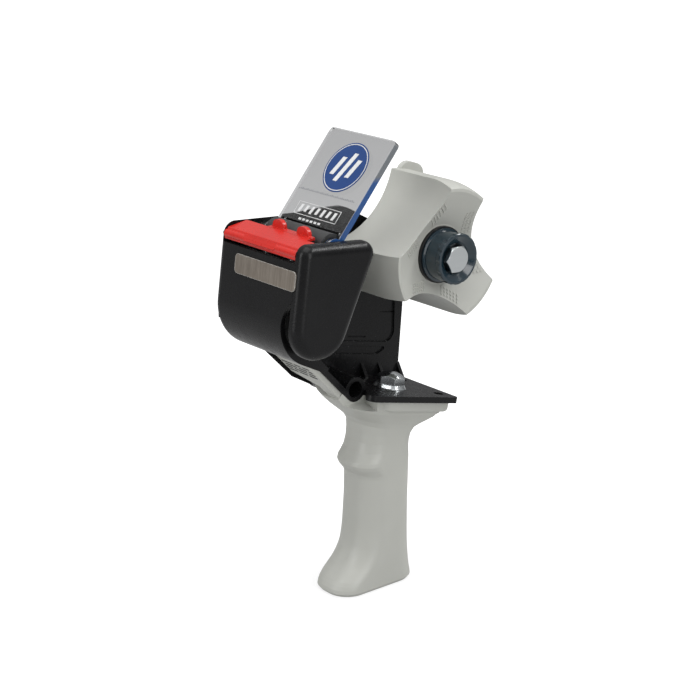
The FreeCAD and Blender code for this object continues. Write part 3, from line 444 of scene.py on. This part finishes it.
def on_flap(x, along, lift):
    """A point on the flap's front: across it, along it from the roller's axis, and off it."""
    y = along * math.cos(FLAP_LEAN) - lift * math.sin(FLAP_LEAN)
    z = along * math.sin(FLAP_LEAN) + lift * math.cos(FLAP_LEAN)
    return V((x, ROLLER_MM.y + y, ROLLER_MM.z + z))


def flap_bar(marks, x0, x1, a0, a1, lift=FLAP_LIFT, slant=0.0, thick=0.12):
    """A raised bar on the flap."""
    corners = [on_flap(x0, a0, lift), on_flap(x1, a0, lift), on_flap(x1 + slant, a1, lift),
               on_flap(x0 + slant, a1, lift)]
    marks.slab(corners, FLAP_OUT * thick)


def flap_marks():
    """A plain frame with bars in it, a row of dashes and a dotted row, moulded and printed on the flap."""
    pale = Marks("flap_embossed", "flap", paints["mark_white"])
    for a0, a1 in ((11.6, 11.95), (18.2, 18.55)):
        flap_bar(pale, -5.6, 26.4, a0, a1)
    for x0 in (-5.6, 26.05):
        flap_bar(pale, x0, x0 + 0.35, 11.95, 18.2)
    for i in range(7):
        x = -3.6 + i * 4.2
        flap_bar(pale, x, x + 1.9, 13.0 + 0.5 * (i % 2), 17.2, slant=0.9)
    for i in range(6):
        x = 0.4 + i * 2.9
        flap_bar(pale, x, x + 1.9, 8.9, 10.1)
    pale.finish()
    dots = Marks("flap_dots", "flap", paints["mark_grey"])
    for i in range(34):
        x = -11.4 + i * 1.25
        flap_bar(dots, x, x + 0.6, 24.6, 25.2 + 0.25 * (i % 3), thick=PRINT_THICK)
    dots.finish()


def badge_marks():
    """A pale ring and three slanting bars on the blue sticker."""
    pale = Marks("badge_pattern", "flap", paints["mark_white"])
    across, along = BADGE_CENTRE
    for i in range(RING_STEPS):
        start, end = (2 * math.pi * (i + k) / RING_STEPS for k in (0, 1))
        ring = ((RING_OUTER, start), (RING_OUTER, end), (RING_INNER, end), (RING_INNER, start))
        corners = [on_flap(across + r * math.cos(t), along + r * math.sin(t), STICKER_LIFT) for r, t in ring]
        pale.slab(corners, FLAP_OUT * PRINT_THICK)
    for offset, half in ((-5.6, 5.2), (0.0, 8.2), (5.6, 5.2)):
        foot = across + offset - half * BADGE_SLANT
        flap_bar(pale, foot - BADGE_BAR, foot + BADGE_BAR, along - half, along + half,
                 STICKER_LIFT, 2 * half * BADGE_SLANT, PRINT_THICK)
    pale.finish()


def hub_ticks():
    """Three short rows of raised ticks beside each hollow flank, on the hub's dished face."""
    ticks = Marks("hub_ticks", "hub", paints["grey_plastic"])
    for valley in VALLEYS:
        for side in (-1, 1):
            for inset in (1.6, 3.3, 5.0):
                for i in range(6):
                    across = side * (6.5 + i * 1.9)
                    depth = FLANK_BEND + inset
                    ahead = FLANK_CENTRE - math.sqrt(depth * depth - across * across)
                    hub_tick(ticks, math.radians(valley), ahead, across)
    ticks.finish()


def hub_tick(ticks, valley, ahead, across):
    """One tick on the dished face, from its place ahead of and across the valley's line."""
    radius = math.hypot(ahead, across)
    turn = valley + math.atan2(across, ahead)
    out = V((0, math.cos(turn), math.sin(turn)))
    round_way = V((0, -math.sin(turn), math.cos(turn)))
    normal = V((1, 0, 0)) - out * DISH_SLOPE
    normal.normalize()
    slope_way = round_way.cross(normal)
    middle = HUB_MM + out * radius + V((DISH_BASE + (radius - DISH_R) * DISH_SLOPE - 0.1, 0, 0))
    ring = ((-TICK_U, -TICK_V), (TICK_U, -TICK_V), (TICK_U, TICK_V), (-TICK_U, TICK_V))
    corners = [middle + slope_way * u + round_way * v for u, v in ring]
    ticks.slab(corners, normal * TICK_HIGH)


TONGUE_START = V((0, -17.8, 107.6))
TONGUE_WAY = V((0, -27.5, 28.7)).normalized()
TONGUE_OUT = V((0, -TONGUE_WAY.z, TONGUE_WAY.y))
TONGUE_LIFT = 2.98
TONGUE_BAR = 1.1
TONGUE_ROWS = ((22.6, ((-17.5, -11.0), (-9.5, -3.0), (-1.5, 4.5))),
               (25.2, ((-17.5, -13.0), (-11.5, -1.5), (0.0, 5.0))),
               (27.8, ((-16.5, -7.5), (-6.0, 0.5), (2.0, 5.0))),
               (30.4, ((-17.5, -9.0), (-7.5, -2.5), (-1.0, 4.0))))


def tongue_bars():
    """Short dark bars in rows on the tongue's underside."""
    bars = Marks("tongue_bars", "frame", paints["mark_black"])
    for reach, spans in TONGUE_ROWS:
        for x0, x1 in spans:
            ring = ((x0, reach), (x1, reach), (x1, reach + TONGUE_BAR), (x0, reach + TONGUE_BAR))
            corners = [V((x, 0, 0)) + TONGUE_START + TONGUE_WAY * along + TONGUE_OUT * TONGUE_LIFT
                       for x, along in ring]
            bars.slab(corners, TONGUE_OUT * 0.15)
    bars.finish()


# ---- finish ----
make_camera()
make_floor()
make_surround()
make_lights()
paints = {name: make(name) for name, make in MATERIALS.items()}
paint_nodes(paints)
flap_marks()
badge_marks()
hub_ticks()
tongue_bars()
